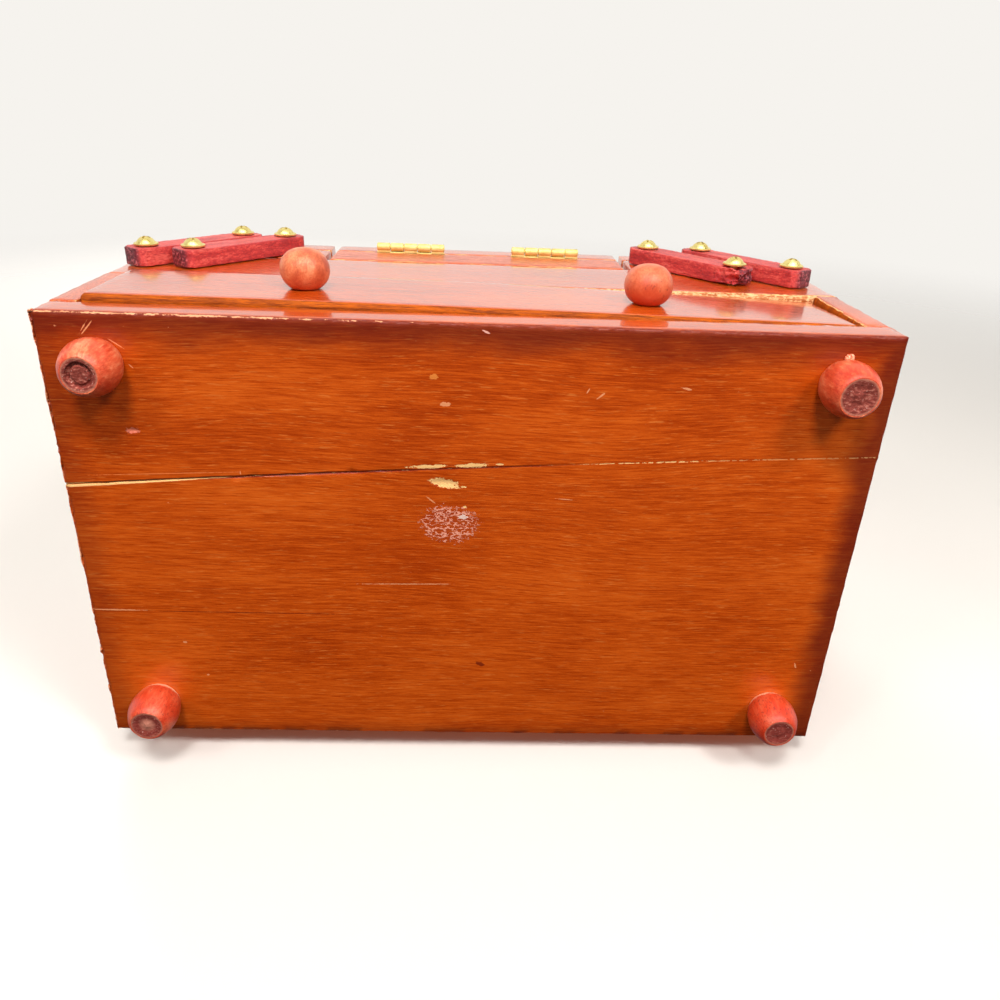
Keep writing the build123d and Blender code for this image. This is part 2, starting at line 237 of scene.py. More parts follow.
def smooth(piece, degrees=35):
    """Shades a piece smooth except over its sharp edges."""
    active(piece)
    bpy.ops.object.shade_smooth_by_angle(angle=math.radians(degrees))


def dress(piece, *materials):
    """Gives a piece these materials, in place of any that it has."""
    piece.data.materials.clear()
    for material in materials:
        piece.data.materials.append(material)


def fit(piece, body, node, material=None):
    """Gives a piece its finish, unless it has it already, and fixes it to its body in place of the
    solid it stands for."""
    if material:
        dress(piece, material)
    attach(piece, body)
    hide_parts(node)


class Nodes:
    """A tree of nodes, with the sums and textures that a finish is made of."""

    def __init__(self, tree):
        self.tree = tree

    def give(self, socket, value):
        """Gives a socket its value, or the socket that it is linked to."""
        if isinstance(value, bpy.types.NodeSocket):
            self.tree.links.new(value, socket)
        else:
            socket.default_value = value

    def node(self, kind, inputs=None, **settings):
        """One node, with its settings and what its inputs are given."""
        made = self.tree.nodes.new("ShaderNode" + kind)
        for name, value in settings.items():
            setattr(made, name, value)
        for name, value in (inputs or {}).items():
            self.give(made.inputs[name], value)
        return made

    def math(self, operation, first, second=0.0):
        return self.node("Math", {0: first, 1: second}, operation=operation).outputs[0]

    def add(self, first, *others):
        for other in others:
            first = self.math("ADD", first, other)
        return first

    def less(self, first, second):
        return self.math("SUBTRACT", first, second)

    def times(self, first, second):
        return self.math("MULTIPLY", first, second)

    def unsigned(self, value):
        return self.math("ABSOLUTE", value)

    def most(self, first, *others):
        for other in others:
            first = self.math("MAXIMUM", first, other)
        return first

    def vector(self, operation, first, second):
        return self.node("VectorMath", {0: first, 1: second}, operation=operation).outputs[0]

    def length(self, vector):
        return self.node("VectorMath", {0: vector}, operation="LENGTH").outputs["Value"]

    def noise(self, place, scale, detail=2.0, roughness=0.55):
        """Noise drawn out by its own scale along each axis, from 0 to 1."""
        drawn = self.vector("MULTIPLY", place, scale)
        inputs = {"Vector": drawn, "Scale": 1.0, "Detail": detail, "Roughness": roughness}
        return self.node("TexNoise", inputs).outputs[0]

    def step(self, value, low, high, out_low=0.0, out_high=1.0):
        """How far a number is from low to high, eased at both ends."""
        inputs = {"Value": value, 1: low, 2: high, 3: out_low, 4: out_high}
        return self.node("MapRange", inputs, interpolation_type="SMOOTHSTEP").outputs[0]

    def between(self, share, first, second):
        """Two numbers mixed by a share."""
        return self.node("Mix", {0: share, 2: first, 3: second}).outputs[0]

    def mix(self, share, first, second, strength=1.0):
        """Two colours mixed by a share, at less than its full strength if need be."""
        if strength != 1.0:
            share = self.times(share, strength)
        return self.node("Mix", {0: share, 6: first, 7: second}, data_type="RGBA").outputs[2]

    def ramp(self, value, *stops):
        """Colours along a number from 0 to 1, each with its place."""
        made = self.node("ValToRGB", {0: value})
        elements = made.color_ramp.elements
        while len(elements) < len(stops):
            elements.new(0.5)
        for element, (place, colour) in zip(elements, stops):
            element.position = place
            element.color = colour
        return made.outputs[0]


class Finish(Nodes):
    """A material as it is built up: a shader, and the nodes that colour and roughen it."""

    def __init__(self, name, coat=0.0, coat_roughness=0.1, metallic=0.0, specular=0.5):
        self.material = bpy.data.materials.new(name)
        self.material.use_nodes = True
        super().__init__(self.material.node_tree)
        self.shader = self.tree.nodes["Principled BSDF"]
        self.shader.inputs["Coat Weight"].default_value = coat
        self.shader.inputs["Coat Roughness"].default_value = coat_roughness
        self.shader.inputs["Metallic"].default_value = metallic
        self.shader.inputs["Specular IOR Level"].default_value = specular

    def read(self, name):
        """One of the piece's own numbers, kept at its points."""
        return self.node("Attribute", attribute_name=name).outputs["Fac"]

    def grain(self):
        """The place in the timber, kept at the piece's points."""
        return self.node("Attribute", attribute_name="grain").outputs["Vector"]

    def seen(self, middle):
        """A point of the piece in millimetres from a place in the frame."""
        point = self.node("TexCoord").outputs["Object"]
        return self.vector("MULTIPLY", self.vector("SUBTRACT", point, middle), (1000.0,) * 3)

    def strip_coat(self, share):
        """Takes the coat of varnish off by this share."""
        coat = self.shader.inputs["Coat Weight"]
        self.give(coat, self.step(share, 0.0, 1.0, coat.default_value, 0.0))

    def lay_on(self, colour, roughness, height, depth, strength):
        """Connects colour, roughness and the height of the relief, which is this deep."""
        relief = self.node("Bump", {"Height": height, "Distance": depth, "Strength": strength})
        self.give(self.shader.inputs["Base Color"], colour)
        self.give(self.shader.inputs["Roughness"], roughness)
        self.give(self.shader.inputs["Normal"], relief.outputs[0])
        return self.material


# The stain's light, middle and dark tones and the glint painted along its fibres, a deep maroon, and bare
# wood
stain_and_glint = (paint(220, 98, 22), paint(198, 77, 8), paint(160, 50, 0), paint(236, 138, 62))
deep_maroon = paint(92, 16, 12)
bare_wood = paint(242, 188, 120)


def timber(finish, light, middle, dark, glint):
    """The colour of stained timber: fibres, streaks and clouds, each at its own size, with glints painted
    along the fibres as highlights. Gives the colour, the fibres' relief and the place along the grain."""
    grain = finish.grain()
    sway = finish.times(finish.noise(grain, (0.007, 0.02, 0.02), 1.0), 12.0)
    place = finish.vector("ADD", grain, finish.node("CombineXYZ", {1: sway}).outputs[0])
    fibres = finish.noise(place, (0.09, 2.1, 2.1), 5.0, 0.78)
    streaks = finish.noise(place, (0.018, 0.42, 0.42), 3.0, 0.6)
    cloud = finish.noise(grain, (0.012, 0.028, 0.028), 3.0)
    parts = (finish.times(fibres, 0.58), finish.times(streaks, 0.14), finish.times(cloud, 0.28))
    share = finish.step(finish.add(*parts), 0.36, 0.64)
    colour = finish.ramp(share, (0.0, dark), (0.5, middle), (1.0, light))
    # Painted highlight: short light lines along the fibres, painted in as glints
    glints = finish.noise(place, (0.16, 2.0, 2.0), 2.0)
    colour = finish.mix(finish.step(glints, 0.6, 0.72), colour, glint, 0.4)
    pores = finish.noise(place, (0.07, 1.7, 1.7), 3.0)
    colour = finish.mix(finish.step(pores, 0.57, 0.67), colour, dark, 0.45)
    return colour, fibres, place


bottom = block("bottom_board_wood", board_low, board_high)
round_edges(bottom, ease, 2)
rule(bottom, ruling)
joint_run = Vector((board_high.x - board_low.x, joint_right_y - joint_left_y, 0)).normalized()
joint_across = Vector((-joint_run.y, joint_run.x, 0))
for offset in (-crack_width, 0.0, crack_width):
    edit(bottom, "FACE", lambda face: True)
    start = Vector((board_low.x, joint_left_y, 0)) + joint_across * offset
    bpy.ops.mesh.bisect(plane_co=start, plane_no=joint_across)
    close(bottom)
for vertex in bottom.data.vertices:
    straight = (vertex.co - Vector((board_low.x, joint_left_y, vertex.co.z))).dot(joint_across)
    share = (vertex.co.x - board_low.x) / (board_high.x - board_low.x)
    vertex.co.y -= joint_bow * 4 * share * (1 - share) * max(0.0, 1 - abs(straight) / joint_reach)
    if abs(straight) < 0.00005 and vertex.co.z < board_low.z + 0.001:
        vertex.co.z += crack_depth * max(0.0, 1 - 2.2 * share)


def hollow(piece, centre, half_size, depth):
    """A shallow hollow in the underside, where varnish and wood have chipped off. Its place, from
    the middle of the board, and half its size are in millimetres."""
    x, y = centre[0] / 1000, middle_y + centre[1] / 1000
    half_length, half_width = half_size[0] / 1000, half_size[1] / 1000
    reach = 0.003

    def around(face):
        centre = face.calc_center_median()
        inside_x = abs(centre.x - x) < half_length + reach
        return face.normal.z < -0.99 and inside_x and abs(centre.y - y) < half_width + reach
    refine(piece, 4, around)
    low = corners(piece)[0].z
    for vertex in piece.data.vertices:
        if vertex.co.z < low + 0.0001:
            across = ((vertex.co.x - x) / half_length) ** 2 + ((vertex.co.y - y) / half_width) ** 2
            vertex.co.z += depth * max(0.0, 1 - across)


def ragged_edge(face):
    """Whether a face of the underside lies by the board's front or left edge."""
    middle = face.calc_center_median()
    by_edge = middle.y < board_low.y + rough_width or middle.x < board_low.x + rough_width
    return middle.z < board_low.z + rough_width and by_edge


# The chip beside the joint and the dent by the front left foot: the place of each, and half its size
chip = ((-10.9, -30.0), (5.7, 1.8))
dent = ((-122.0, -47.7), (2.6, 1.1))
rough_width = 0.003
hollow(bottom, *chip, 0.0005)
hollow(bottom, *dent, 0.0006)
refine(bottom, 3, ragged_edge)
nearness = edge_nearness(bottom, 0.0016)
roughen(bottom, 0.003, 0.0009, nearness)
left_end = [s if v.co.x < board_low.x + 0.002 else 0.0 for s, v in zip(nearness, bottom.data.vertices)]
roughen(bottom, 0.006, 0.0016, left_end, 0.7)
lay_grain(bottom, "X", 1)
smooth(bottom)

wood = Finish("varnished bottom", coat=1.0, coat_roughness=0.07, specular=0.25)
colour, fibres, _ = timber(wood, *stain_and_glint)
placed = wood.seen((0.0, middle_y, board_low.z))
parts = wood.node("SeparateXYZ", {0: placed}).outputs
board_x, board_y = parts[0], parts[1]
underside = wood.step(parts[2], 1.6, 0.5)
half_x = 1000 * (board_high.x - board_low.x) / 2
half_y = 1000 * (board_high.y - board_low.y) / 2
torn = wood.less(wood.noise(placed, (0.3, 0.7, 0.7), 5.0, 0.7), 0.5)
specked = wood.less(wood.noise(placed, (0.9, 0.9, 0.9), 4.0, 0.7), 0.5)


def blot(centre, half_size, raggedness, tilt=0.0):
    """A ragged patch round a point of the underside, in millimetres: 1 inside it, 0 outside."""
    inputs = {"Vector": placed, "Location": (*centre, 0.0), "Rotation": (0, 0, tilt)}
    inputs["Scale"] = (*half_size, 1.0)
    local = wood.node("Mapping", inputs, vector_type="TEXTURE").outputs[0]
    reach = wood.length(wood.vector("MULTIPLY", local, (1.0, 1.0, 0.0)))
    ragged = wood.add(wood.times(torn, raggedness), wood.times(specked, raggedness))
    return wood.times(wood.step(wood.add(reach, ragged), 1.05, 0.88), underside)


# Darker towards the board's rim, most of all in front and at the right end
far_x = wood.less(half_x, wood.unsigned(board_x))
drift = wood.times(wood.less(wood.noise(placed, (0.03, 0.06, 0.05), 3.0), 0.5), 14.0)
end_share = wood.step(board_x, -80.0, 120.0, 0.45, 1.0)
front_shade = wood.step(wood.add(board_y, half_y, drift), 15.0, 2.0)
end_shade = wood.times(wood.step(wood.add(far_x, drift), 15.0, 3.0), end_share)
back_shade = wood.times(wood.step(wood.add(wood.less(half_y, board_y), drift), 9.0, 0.0), 0.4)
shade = wood.times(wood.most(front_shade, end_shade, back_shade), underside)
colour = wood.mix(shade, colour, deep_maroon, 0.77)

# The joint: open and pale-edged at the left, a dark line in the middle, and worn pale at the right
share_x = wood.math("DIVIDE", board_x, half_x)
bowed = wood.less(wood.times(share_x, share_x), 1.0)
slope = wood.times(share_x, 1000 * (joint_right_y - joint_left_y) / 2)
joint_middle = 1000 * ((joint_right_y + joint_left_y) / 2 - middle_y)
past_joint = wood.less(board_y, wood.add(slope, joint_middle, wood.times(bowed, 1000 * joint_bow)))
from_joint = wood.add(wood.unsigned(past_joint), wood.times(torn, 0.7))
front_reach = wood.step(board_x, -148.0, -126.0, 0.8, 0.0)
back_reach = wood.step(board_x, -148.0, -62.0, 1.1, 0.0)
left_reach = wood.between(wood.step(past_joint, -0.1, 0.1), front_reach, back_reach)
broken = wood.step(wood.noise(placed, (0.45, 0.6, 0.6), 3.0), 0.4, 0.5)
right_reach = wood.times(wood.step(board_x, 25.0, 60.0, 0.0, 0.3), broken)
pale = wood.step(wood.less(wood.most(left_reach, right_reach), from_joint), 0.0, 0.15)
pale = wood.times(pale, wood.step(board_x, 76.0, 96.0, 0.9, 0.4))
crack_reach = wood.step(board_x, -120.0, 20.0, 0.5, 0.3)
dark = wood.step(wood.less(crack_reach, from_joint), -0.3, 0.25)
dark = wood.times(dark, wood.step(board_x, 60.0, 10.0))
chipped = wood.most(
    blot(*chip, 1.3, 0.2), blot((-16.5, -36.5), (6.9, 0.7), 1.8, -0.06),
    blot((-0.5, -37.4), (6.0, 0.8), 1.8, -0.06), blot((9.4, -38.1), (1.4, 0.35), 1.2),
    blot((-3.9, -28.6), (1.2, 0.4), 1.0), blot((-3.1, -20.3), (0.8, 0.5), 1.0), pale,
)
colour = wood.mix(dark, colour, deep_maroon, 0.9)
colour = wood.mix(chipped, colour, bare_wood)

# Old glue, dried in curls, with one thick drop
curls = wood.unsigned(wood.less(wood.noise(placed, (0.36, 0.55, 0.55), 2.0, 0.6), 0.5))
swell = wood.step(wood.noise(placed, (0.5, 0.6, 0.6), 2.0), 0.4, 0.65, 0.0, 0.05)
curls = wood.step(wood.less(curls, swell), 0.03, 0.008)
glued = blot((-8.8, -12.7), (10.8, 7.8), 1.1)
colour = wood.mix(glued, colour, paint(150, 50, 30), 0.35)
glued = wood.times(glued, curls)
colour = wood.mix(glued, colour, paint(244, 166, 140), 0.85)
colour = wood.mix(blot((-3.6, -16.0), (1.9, 1.0), 1.6), colour, paint(244, 214, 200), 0.8)

# Small marks, from the middle of the board: place, half size, turn and colour. The first, pink over the
# dent by the front left foot, is a painted highlight
knot_brown = paint(104, 22, 10)
pale_mark = paint(238, 160, 110)
marks = (
    (*dent, 0.0, paint(236, 130, 104)), ((4.5, 52.5), (1.7, 1.0), 0.3, knot_brown),
    ((-15.0, -70.8), (1.6, 1.1), 0.0, paint(232, 138, 60)), ((-10.7, -60.8), (2.0, 0.8), 0.0, pale_mark),
    ((3.1, -87.1), (1.5, 0.35), 0.4, paint(255, 190, 170)), ((39.6, -67.1), (1.2, 0.25), -1.1, pale_mark),
    ((44.3, -65.4), (1.7, 0.3), -0.7, pale_mark), ((74.7, -69.0), (1.8, 0.4), 0.2, pale_mark),
    ((-131.3, -84.6), (3.2, 0.22), 2.3, pale_mark), ((-132.4, -84.9), (2.6, 0.18), 2.2, pale_mark),
    ((-122.8, -79.4), (3.0, 0.2), 0.6, pale_mark), ((-118.6, -71.3), (1.2, 0.25), 0.8, pale_mark),
    ((-115.2, 43.8), (0.8, 0.5), 0.0, pale_mark), ((-107.9, 60.1), (0.6, 0.4), 0.0, pale_mark),
    ((137.2, 50.9), (1.3, 0.35), 1.2, pale_mark), ((-25.0, 14.2), (18.5, 0.22), -0.02, pale_mark),
    ((-140.0, 28.7), (10.5, 0.35), 0.0, pale_mark), ((-92.0, 29.0), (38.0, 0.22), 0.0, knot_brown),
    ((-112.0, -31.2), (27.0, 0.18), -0.05, paint(236, 130, 70)),
    ((-85.5, -32.4), (0.9, 0.2), 1.5, pale_mark),
    ((-15.9, -22.9), (2.4, 0.25), 0.7, pale_mark), ((34.2, -24.4), (3.2, 0.2), 0.06, pale_mark),
)
for centre, half_size, tilt, tint in marks:
    colour = wood.mix(blot(centre, half_size, 1.5, tilt), colour, tint, 0.75)
grit = wood.noise(placed, (0.35, 0.5, 0.5), 2.0)
colour = wood.mix(wood.step(grit, 0.76, 0.8), colour, pale_mark, 0.6)

worn = wood.add(wood.read("worn"), wood.times(torn, 0.25), wood.times(specked, 0.2))
rubbed = wood.step(wood.add(worn, wood.step(board_x, 0.0, -75.0, 0.0, 0.08)), 0.96, 0.99)
colour = wood.mix(rubbed, colour, paint(238, 166, 122))
dull = wood.most(chipped, rubbed)
roughness = wood.step(fibres, 0.3, 0.7, 0.26, 0.38)
roughness = wood.add(roughness, wood.times(dull, 0.4), wood.times(shade, 0.08))
height = wood.add(fibres, wood.times(dull, -1.5), wood.times(glued, 1.5), wood.times(dark, -2.0))
near_edge = wood.step(wood.read("worn"), 0.75, 0.95)
wood.strip_coat(wood.most(dull, dark, near_edge, wood.times(shade, 0.7), wood.times(glued, 0.5)))
board_material = wood.lay_on(colour, roughness, height, 0.00015, 0.5)
fit(bottom, "case", "bottom_board", board_material)


# The four feet, turned like small barrels from a pale wood and dyed red. Each is glued into the
# bottom board by its tenon. The lathe has left a ring and a rough plug in one end and a nub in
# another, and the other two are sawn off.
foot_low, foot_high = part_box("foot_front_left")
foot_height = board_low.z - foot_low.z
foot_belly = (foot_high.x - foot_low.x) / 2
foot_root = 0.0080
root_reach = 0.004


def turn(name, stations, sides=48):
    """A piece turned about Z: a ring is drawn out from station to station, each a height and a
    radius, and closed at both ends."""
    height, radius = stations[0]
    ring = {"vertices": sides, "radius": radius, "location": (0, 0, height)}
    piece = new(name, bpy.ops.mesh.primitive_circle_add, **ring)
    bpy.ops.object.transform_apply(location=True)
    edit(piece, "EDGE", lambda edge: True)
    for next_height, next_radius in stations[1:]:
        move = {"value": (0, 0, next_height - height)}
        bpy.ops.mesh.extrude_region_move(TRANSFORM_OT_translate=move)
        grow = next_radius / radius
        bpy.ops.transform.resize(value=(grow, grow, 1), center_override=(0, 0, next_height))
        height, radius = next_height, next_radius
    bpy.ops.mesh.select_all(action="SELECT")
    bpy.ops.mesh.fill_holes(sides=0)
    bpy.ops.mesh.select_all(action="SELECT")
    bpy.ops.mesh.normals_make_consistent(inside=False)
    return close(piece)


dye = Finish("dyed foot", coat=0.45, coat_roughness=0.3, specular=0.3)
grain = dye.grain()
deep = dye.read("deep")
fibres = dye.noise(grain, (0.14, 1.0, 1.0), 5.0, 0.72)
blotches = dye.noise(grain, (0.06, 0.14, 0.14), 3.0)
tone = dye.add(dye.times(fibres, 0.45), dye.times(blotches, 0.55))
colour = dye.ramp(
    dye.step(tone, 0.34, 0.66),
    (0.0, paint(200, 52, 26)), (0.5, paint(228, 94, 56)), (1.0, paint(244, 144, 100)),
)
colour = dye.mix(deep, colour, paint(206, 46, 4), 0.65)
flecks = dye.step(dye.noise(grain, (0.6, 1.3, 1.3), 4.0, 0.7), 0.54, 0.64)
flecks = dye.times(flecks, dye.add(dye.times(deep, 0.45), 0.25))
colour = dye.mix(flecks, colour, paint(146, 26, 20))
scuffs = dye.step(dye.noise(grain, (0.5, 0.9, 0.9), 4.0, 0.7), 0.64, 0.7)
colour = dye.mix(scuffs, colour, paint(246, 168, 128), 0.4)
root = dye.step(dye.add(dye.read("root"), dye.times(fibres, 0.8)), 0.96, 1.04)
colour = dye.mix(root, colour, paint(246, 192, 152), 0.85)
across = dye.add(dye.read("across"), dye.times(fibres, 0.12))
end = dye.step(across, 1.06, 0.98)
speck = dye.noise(grain, (0.5, 0.6, 1.3), 4.0, 0.65)
end_colour = dye.ramp(
    dye.step(speck, 0.3, 0.74),
    (0.0, paint(104, 38, 28)), (0.6, paint(150, 66, 54)), (1.0, paint(196, 124, 104)),
)
end_colour = dye.mix(deep, end_colour, paint(136, 44, 36), 0.5)
dust = dye.step(dye.noise(grain, (1.2, 1.4, 1.4), 3.0), 0.64, 0.72)
end_colour = dye.mix(dust, end_colour, paint(236, 196, 180), 0.6)
end_colour = dye.mix(dye.read("nub"), end_colour, paint(206, 132, 108), 0.8)
end_colour = dye.mix(dye.step(across, 0.88, 1.0), end_colour, paint(206, 134, 108), 0.55)
colour = dye.mix(end, colour, end_colour)
roughness = dye.add(dye.step(fibres, 0.3, 0.7, 0.34, 0.48), dye.times(end, 0.35))
height = dye.add(fibres, dye.times(dye.times(end, speck), 2.0))
dye.strip_coat(dye.most(end, root))
foot_material = dye.lay_on(colour, roughness, height, 0.00025, 0.5)


def at(place, angle=0.0, axis="Z"):
    """A place, and a turn there about an axis."""
    return Matrix.Translation(place) @ Matrix.Rotation(angle, 4, axis)


def put(piece, place):
    """Moves a piece to its place, and keeps the move in its mesh."""
    piece.matrix_world = place
    active(piece)
    bpy.ops.object.transform_apply(location=True, rotation=True)


def join(pieces, name):
    """One piece made of several."""
    active(pieces[0])
    for piece in pieces:
        piece.select_set(True)
    bpy.ops.object.join()
    pieces[0].name = name
    return pieces[0]


def glue_bead():
    """The bead of old glue beside the root of the front right foot."""
    stations = (
        (-0.0012, 0.0003), (-0.0010, 0.0011), (-0.0003, 0.0018), (0.0004, 0.0019), (0.0012, 0.0015),
    )
    bead = turn("bead", stations, 20)
    note_grain(bead, (2, 0, 1), 9)
    for name, value in (("across", 2.0), ("root", 0.6), ("deep", 0.0), ("nub", 0.0)):
        note(bead, name, [value] * len(bead.data.vertices))
    put(bead, at((0.1302, middle_y - 0.0817, board_low.z - 0.0004)))
    roughen(bead, 0.0014, 0.0009, level=0.7)
    return bead


ringed_end = (
    (0.0009, 0.0003), (0.0006, 0.0024), (0.0007, 0.0031), (0.0015, 0.0036), (0.0014, 0.0040),
    (0.0002, 0.0044), (0.0, 0.0048),
)
nubbed_end = ((0.0001, 0.0003), (0.0002, 0.0009), (0.0007, 0.0016), (0.0007, 0.0036), (0.0, 0.0052))
sawn_end = ((0.0003, 0.0003), (0.0002, 0.0014), (0.0006, 0.0024), (0.0004, 0.0042), (0.0, 0.0054))
# For each foot the radius of its tip, how deep its dye is, and how its end was left
feet = {
    "front_left": (0.0067, 0.0, ringed_end), "front_right": (0.0074, 0.1, sawn_end),
    "back_left": (0.0070, 0.7, nubbed_end), "back_right": (0.0068, 1.0, sawn_end),
}
for plank, (corner, (tip, deepness, tip_end)) in enumerate(feet.items(), 11):
    name = "foot_" + corner
    low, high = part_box(name)
    bulge = foot_belly - (tip + foot_root) / 2 - 0.00005
    profile = [*tip_end, (0.0, tip - 0.0009), (0.0001, tip - 0.0004), (0.0005, tip)]
    for step in range(1, 17):
        along = step / 16
        radius = tip + (foot_root - tip) * along + bulge * 4 * along * (1 - along)
        profile.append((foot_height * along, radius))
    foot = turn(name + "_turning", [*profile, (foot_height + 0.0006, foot_root - 0.0004)])
    note_grain(foot, (2, 0, 1), plank)
    flat = [vertex.co.xy.length if vertex.co.z < 0.002 else 1.0 for vertex in foot.data.vertices]
    note(foot, "across", [min(reach, 0.01) / (tip - 0.0005) for reach in flat])
    bared = 0.0 if "front" in corner else 1.0
    rise = [max(0.0, 1 - (foot_height - v.co.z) / root_reach) for v in foot.data.vertices]
    note(foot, "root", [bared * share for share in rise])
    note(foot, "deep", [deepness] * len(foot.data.vertices))
    note(foot, "nub", [float(corner == "back_left" and reach < 0.0024) for reach in flat])
    put(foot, at(((low.x + high.x) / 2, (low.y + high.y) / 2, 0)))
    roughen(foot, 0.0016, 0.0006, [1.0 if reach < tip - 0.0006 else 0.0 for reach in flat], 0.85)
    roughen(foot, 0.004, 0.0003, level=0.9)
    if corner == "front_right":
        foot = join([foot, glue_bead()], foot.name)
    smooth(foot, 40)
    fit(foot, "case", name, foot_material)


# The case: end panels, a wide front panel over the drawer, the back, and inside them the shelf and
# the two partitions of the middle well. All are planed boards of the same stained wood, with
# rough sawn edges round the drawer.
case_boards = {
    "left_end_panel": "Y", "right_end_panel": "Y", "front_panel": "X", "back_panel": "X",
    "back_riser": "X", "left_partition": "Y", "right_partition": "Y",
}
panel_low, panel_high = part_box("front_panel")
sawn_depth = 0.012
wear_reach = 0.004


def varnished(name, coat, gloss):
    """The stained and varnished wood of the case. Along the edges of each board the varnish is worn
    off in ragged patches, drawn out along the grain."""
    finish = Finish(name, coat, gloss)
    colour, fibres, place = timber(finish, *stain_and_glint)
    ragged = finish.noise(place, (0.14, 0.5, 0.5), 5.0, 0.7)
    worn = finish.step(finish.add(finish.read("worn"), finish.times(ragged, 0.24)), 1.06, 1.11)
    colour = finish.mix(worn, colour, bare_wood)
    roughness = finish.add(finish.step(fibres, 0.3, 0.7, 0.22, 0.34), finish.times(worn, 0.4))
    finish.strip_coat(worn)
    return finish.lay_on(colour, roughness, fibres, 0.00012, 0.45)


front_varnish = varnished("polished front", 1.0, 0.11)
case_varnish = varnished("varnished case", 0.5, 0.1)


def sawn_edge(name, dark, light, bared):
    """A sawn edge, stained but never varnished, and bare in this share of its places."""
    finish = Finish(name, specular=0.2)
    grain = finish.grain()
    lines = finish.noise(grain, (0.08, 1.1, 1.1), 5.0, 0.75)
    chips = finish.noise(grain, (0.5, 1.0, 1.0), 4.0, 0.7)
    colour = finish.mix(finish.step(lines, 0.36, 0.64), dark, light)
    bare_place = finish.step(finish.add(chips, bared), 0.98, 1.06)
    colour = finish.mix(bare_place, colour, paint(242, 190, 138))
    return finish.lay_on(colour, finish.step(lines, 0.3, 0.7, 0.6, 0.8), chips, 0.0004, 0.7)


golden_edge = sawn_edge("golden sawn edge", paint(118, 46, 0), paint(192, 90, 8), 0.27)
chipped_edge = sawn_edge("chipped sawn edge", paint(160, 76, 26), paint(222, 150, 96), 0.5)


def leave_sawn(piece, varnish, edge, chosen):
    """Gives a board its varnish, and the chosen faces the look of a sawn edge."""
    dress(piece, varnish, edge)
    for face in piece.data.polygons:
        face.material_index = int(chosen(face))


def board(name, easing=ease):
    """A planed board with eased edges, as large as the solid of that name."""
    low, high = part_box(name)
    piece = block(name + "_wood", low, high)
    round_edges(piece, easing, 2)
    rule(piece, ruling)
    return piece


def finish_board(piece, along, plank, depth=0.0005, hinged=None):
    """Wears a board's edges, lets in the hinges of a lid where it carries them, and lays its grain."""
    roughen(piece, 0.004, depth, edge_nearness(piece, 0.0015))
    if hinged:
        let_in(piece, hinged)
    lay_grain(piece, along, plank)
    smooth(piece)


def cut_away(piece, low, high, place=Matrix()):
    """Cuts a block between two corners, moved to a place, out of a piece."""
    cutter = block("cutter", low, high)
    put(cutter, place)
    apply_modifier(piece, "BOOLEAN", operation="DIFFERENCE", object=cutter, solver="EXACT")
    bpy.data.objects.remove(cutter)


for plank, (name, along) in enumerate(case_boards.items(), 21):
    piece = board(name)
    low, high = corners(piece)
    inner = min(abs(low.x), abs(high.x))

    def by_drawer(point, reach):
        """Whether a point of an end panel's front edge lies within this reach of its inside."""
        return abs(point.x) < inner + reach and point.y < low.y + sawn_depth

    if name == "front_panel":
        refine(piece, 3, lambda face: face.calc_center_median().z < low.z + ruling)
        finish_board(piece, along, plank, 0.0012)
        for vertex, worn in zip(piece.data.vertices, piece.data.attributes["worn"].data):
            near = max(0.0, 1 - (vertex.co.z - low.z) / wear_reach)
            worn.value += 0.3 * near * max(0.0, vertex.co.x / 0.13)
        leave_sawn(
            piece, front_varnish, chipped_edge,
            lambda face: face.normal.z < -0.3 and face.center.z < low.z + 0.002 and face.center.x > -0.01,
        )
    elif "end_panel" in name:
        beyond = Vector((panel_high.x + 0.01, panel_high.y, high.z + 0.01))
        cut_away(piece, panel_low - Vector((0.01, 0.002, 0.0)), beyond)
        refine(piece, 3, lambda face: by_drawer(face.calc_center_median(), 0.0035))
        depth, wear = (0.0012, 0.1) if "right" in name else (0.0005, 0.05)
        finish_board(piece, along, plank, depth)
        for vertex, worn in zip(piece.data.vertices, piece.data.attributes["worn"].data):
            if vertex.co.y < low.y + sawn_depth:
                worn.value += wear * max(0.0, 1 - (abs(vertex.co.x) - inner) / wear_reach)
        leave_sawn(piece, case_varnish, golden_edge, lambda face: by_drawer(face.center, 0.0005))
    else:
        finish_board(piece, along, plank)
        dress(piece, case_varnish)
    fit(piece, "case", name)


# The drawer: a thick front with a rounded face, and a plain box of unstained wood behind it. The
# front was planed a little out of true, so it stands proud at the left and shy at the upper right.
drawer_round = 0.002
drawer_middle_in = 0.00055
drawer_lean = 0.0102
drawer_bow = 0.03
drawer_corner_in = 0.0020

drawer_low, drawer_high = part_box("drawer_front")
drawer_front = block("drawer_front_wood", drawer_low, drawer_high)


def drawer_face_shift(x, z):
    """How far back the drawer's face lies from a true one."""
    up = (z - drawer_low.z) / (drawer_high.z - drawer_low.z)
    turned_back = drawer_corner_in * up * max(0.0, x / 0.14)
    return drawer_middle_in + drawer_lean * x + drawer_bow * x**2 + turned_back


round_edges(
    drawer_front, drawer_round, 4,
    lambda edge: all(vertex.co.y < drawer_low.y + 0.0001 for vertex in edge.verts),
)
round_edges(drawer_front, ease, 1)
rule(drawer_front, ruling)
finish_board(drawer_front, "X", 32, 0.0003)
leave_sawn(drawer_front, front_varnish, golden_edge, lambda face: face.normal.z < -0.3)
drawer_thickness = drawer_high.y - drawer_low.y
for vertex in drawer_front.data.vertices:
    share = (drawer_high.y - vertex.co.y) / drawer_thickness
    vertex.co.y += share * drawer_face_shift(vertex.co.x, vertex.co.z)
fit(drawer_front, "drawer", "drawer_front")

